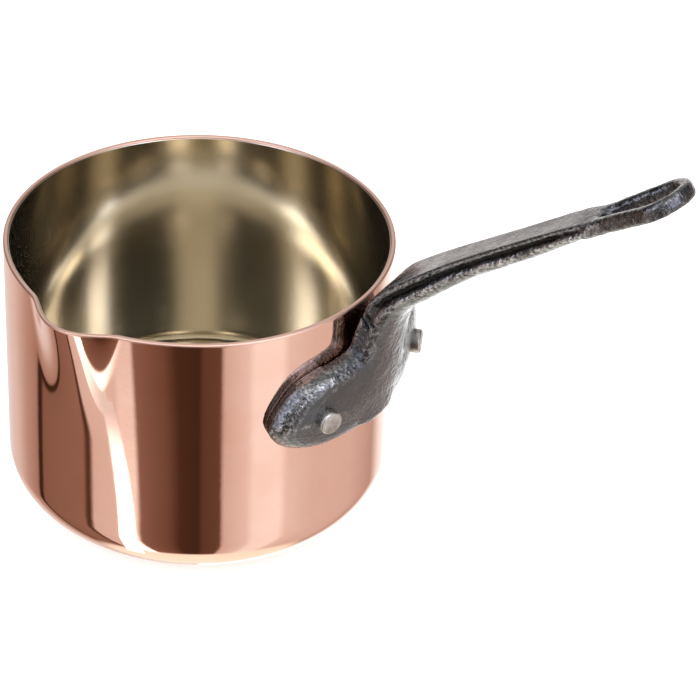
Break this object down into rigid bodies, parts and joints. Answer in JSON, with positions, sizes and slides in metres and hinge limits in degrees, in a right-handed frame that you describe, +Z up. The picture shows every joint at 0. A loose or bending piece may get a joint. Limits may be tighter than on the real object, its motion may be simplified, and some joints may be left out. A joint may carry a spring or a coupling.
{
  "type": "copper saucepan",
  "caption": "Tall straight-sided copper saucepan with a pouring spout, a bonded pale steel lining and a riveted cast-iron handle with a hanging eye.",
  "frame": {"origin": "centre of the flat base, where the axis of the pan meets the table", "axes": "+Z up along the axis of the pan; +X out along the handle; the spout opens 96 degrees clockwise from the handle, seen from above, close to -Y"},
  "size_m": [0.2571, 0.147, 0.1876],
  "materials": {
    "copper": null,
    "lining": "satin, brushed round the pan",
    "cast_iron": "black oiled sand casting, glossy on its high spots",
    "rivet": "dull pale metal, hammered flat"
  },
  "bodies": {
    "root": {"copper_body": "copper", "lining": "lining", "handle": "cast_iron", "rivet_left": "rivet", "rivet_right": "rivet"}
  },
  "joints": []
}
